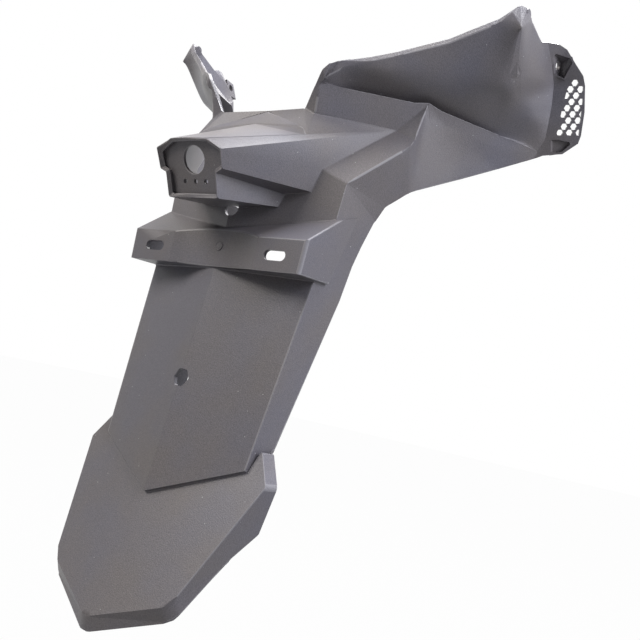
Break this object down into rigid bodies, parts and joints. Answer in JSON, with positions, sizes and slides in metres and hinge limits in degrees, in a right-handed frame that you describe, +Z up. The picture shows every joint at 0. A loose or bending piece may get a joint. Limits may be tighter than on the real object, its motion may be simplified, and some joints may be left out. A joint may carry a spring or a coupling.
{
  "type": "scooter number plate holder",
  "caption": "Rear mudguard and number plate holder of a scooter, moulded in one piece: long folded blade with a wide flap, plate bar with slots, lamp housing and swept side wings with honeycomb vents.",
  "frame": {"origin": "midway between the two plate slots, on the face that the number plate seats on", "axes": "+X to the vehicle's right, +Y forwards, +Z up"},
  "size_m": [0.3596, 0.2195, 0.4589],
  "materials": {
    "grained_plastic": "charcoal polypropylene with a fine moulded grain"
  },
  "bodies": {
    "root": {"plate_holder": "grained_plastic"}
  },
  "joints": []
}
